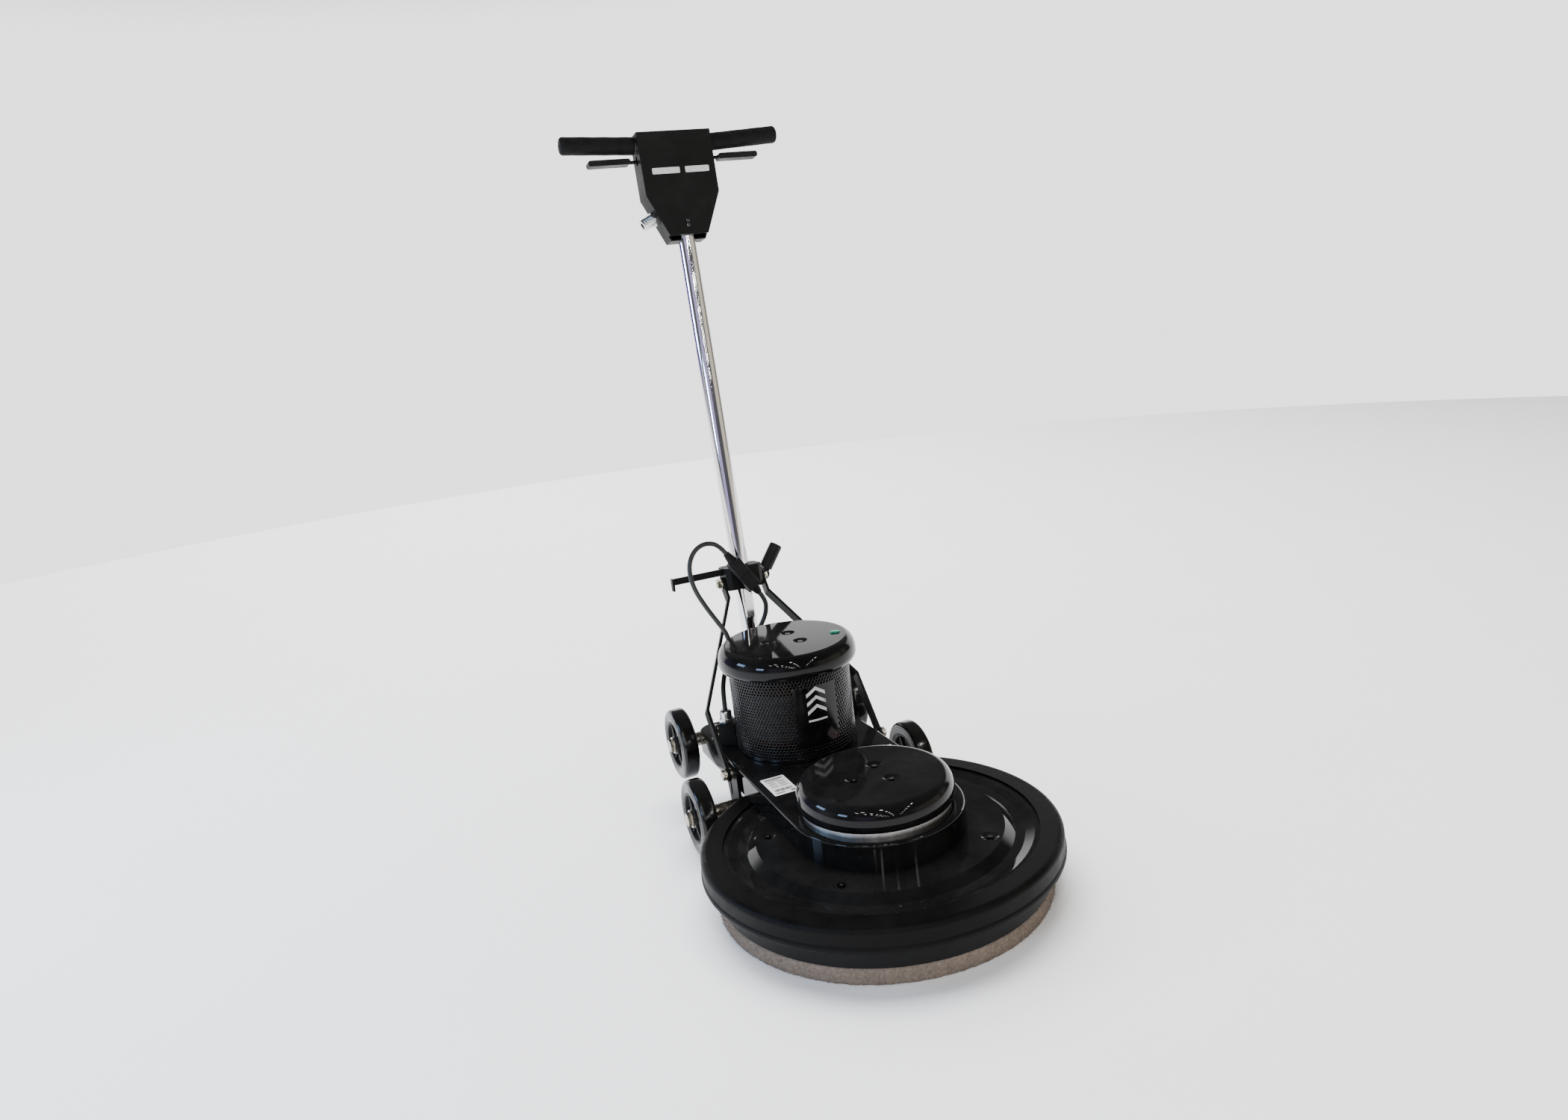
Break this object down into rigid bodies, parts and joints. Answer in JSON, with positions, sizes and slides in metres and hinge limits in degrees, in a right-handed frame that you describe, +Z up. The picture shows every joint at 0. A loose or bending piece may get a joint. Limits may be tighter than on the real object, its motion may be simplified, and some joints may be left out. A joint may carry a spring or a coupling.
{
  "type": "high speed floor burnisher",
  "caption": "Belt-driven floor burnisher: round pad under a bumpered deck, upright motor behind, wheels, and a chromed tilting handle with grips and triggers.",
  "frame": {"origin": "on the floor under the middle of the pad", "axes": "+Z up; +Y towards the operator and the handle; +X to the right seen from the pad end, so the machine's front faces -Y"},
  "size_m": [0.5436, 0.8633, 1.1885],
  "materials": {
    "pad_fibre": "matte",
    "driver_plastic": "satin",
    "gloss_black_paint": "gloss",
    "satin_black_paint": "satin",
    "bumper_rubber": "matte",
    "chrome_tube": "polished",
    "zinc_steel": "satin",
    "zinc_fitting": "satin",
    "core_steel": "matte",
    "copper_windings": "satin",
    "black_plastic": "satin",
    "lead_jacket": "matte",
    "grip_rubber": "matte",
    "lamp_green": "gloss",
    "wheel_black": "satin"
  },
  "bodies": {
    "chassis": {"deck_cover": "gloss_black_paint", "bumper_ring": "bumper_rubber", "bearing_housings": "satin_black_paint", "ball_bearings": "zinc_steel", "chassis_plate": "gloss_black_paint", "wheel_brackets": "satin_black_paint", "front_axles": "zinc_steel", "axle_spacers": "zinc_steel", "rear_axle": "zinc_steel", "dome_ring": "zinc_steel", "front_dome": "gloss_black_paint", "motor_cap": "gloss_black_paint", "pilot_lamp": "lamp_green", "cover_screws": "zinc_steel", "motor_base": "satin_black_paint", "motor_sleeve": "satin_black_paint", "stator_core": "core_steel", "stator_windings": "copper_windings", "end_bracket": "satin_black_paint", "motor_bolts": "zinc_steel", "terminal_box": "satin_black_paint", "motor_gland": "zinc_fitting", "handle_bracket": "satin_black_paint", "pivot_bolts": "zinc_steel", "drive_belt": "bumper_rubber", "motor_lead": "lead_jacket"},
    "pad_drive": {"burnishing_pad": "pad_fibre", "pad_driver": "driver_plastic", "centre_lock": "driver_plastic", "spindle_shaft": "zinc_steel", "pad_pulley": "zinc_steel"},
    "rotor": {"motor_shaft": "zinc_steel", "rotor_core": "core_steel", "cooling_fan": "black_plastic", "motor_pulley": "zinc_steel"},
    "handle": {"handle_tube": "chrome_tube", "tube_strap": "chrome_tube", "switch_box_front": "satin_black_paint", "switch_box_back": "satin_black_paint", "box_pins": "zinc_steel", "handlebar": "zinc_steel", "hand_grips": "grip_rubber", "line_switches": "black_plastic", "power_gland": "zinc_fitting", "connector_plug": "black_plastic", "connector_socket": "black_plastic", "switch_lead": "lead_jacket"},
    "yoke": {"yoke": "satin_black_paint", "yoke_pins": "zinc_steel", "cord_hook": "satin_black_paint"},
    "cam": {"cam_lever": "black_plastic"},
    "struts": {"strut_left": "satin_black_paint", "strut_right": "satin_black_paint"},
    "left_trigger": {"left_trigger": "black_plastic"},
    "right_trigger": {"right_trigger": "black_plastic"},
    "front_left_wheel": {"front_left_wheel": "wheel_black"},
    "front_right_wheel": {"front_right_wheel": "wheel_black"},
    "rear_left_wheel": {"rear_left_wheel": "wheel_black"},
    "rear_right_wheel": {"rear_right_wheel": "wheel_black"}
  },
  "joints": [
    {"name": "handle_tilt", "type": "hinge", "parent": "chassis", "child": "handle", "pos_m": [0, 0.463, 0.16], "axis": [-1, 0, 0], "range_deg": [0, 24], "deforming": ["motor_lead"]},
    {"name": "yoke_slide", "type": "slide", "parent": "handle", "child": "yoke", "axis": [0, 0.1045, 0.9945], "range_m": [-0.053, 0.001]},
    {"name": "strut_swing", "type": "hinge", "parent": "chassis", "child": "struts", "pos_m": [0, 0.268, 0.121], "axis": [-1, 0, 0], "range_deg": [-0.5, 17.5]},
    {"name": "cam_swing", "type": "hinge", "parent": "yoke", "child": "cam", "pos_m": [0.05, 0.51041, 0.38628], "axis": [0, 0.9945, -0.1045], "range_deg": [0, 70]},
    {"name": "left_trigger_pull", "type": "hinge", "parent": "handle", "child": "left_trigger", "pos_m": [-0.048, 0.56601, 1.1401], "axis": [0, 0.9945, -0.1045], "range_deg": [0, 5.5], "stiffness_Nm_per_rad": 1, "springref_deg": -3.44},
    {"name": "right_trigger_pull", "type": "hinge", "parent": "handle", "child": "right_trigger", "pos_m": [0.048, 0.56601, 1.1401], "axis": [0, -0.9945, 0.1045], "range_deg": [0, 5.5], "stiffness_Nm_per_rad": 1, "springref_deg": -3.44},
    {"name": "pad_spin", "type": "hinge", "parent": "chassis", "child": "pad_drive", "pos_m": [0, 0, 0.05], "axis": [0, 0, 1], "continuous": true},
    {"name": "motor_spin", "type": "hinge", "parent": "chassis", "child": "rotor", "pos_m": [0, 0.3, 0.2], "axis": [0, 0, 1], "continuous": true},
    {"name": "front_left_roll", "type": "hinge", "parent": "chassis", "child": "front_left_wheel", "pos_m": [-0.2, 0.264, 0.0635], "axis": [1, 0, 0], "continuous": true},
    {"name": "front_right_roll", "type": "hinge", "parent": "chassis", "child": "front_right_wheel", "pos_m": [0.2, 0.264, 0.0635], "axis": [1, 0, 0], "continuous": true},
    {"name": "rear_left_roll", "type": "hinge", "parent": "chassis", "child": "rear_left_wheel", "pos_m": [-0.167, 0.447, 0.123], "axis": [1, 0, 0], "continuous": true},
    {"name": "rear_right_roll", "type": "hinge", "parent": "chassis", "child": "rear_right_wheel", "pos_m": [0.167, 0.447, 0.123], "axis": [1, 0, 0], "continuous": true}
  ],
  "couplings": [
    {"joint": "yoke_slide", "follows": "handle_tilt", "m_per_rad": -0.12376},
    {"joint": "strut_swing", "follows": "handle_tilt", "ratio": 0.695},
    {"joint": "motor_spin", "follows": "pad_spin", "ratio": 1.1667}
  ]
}
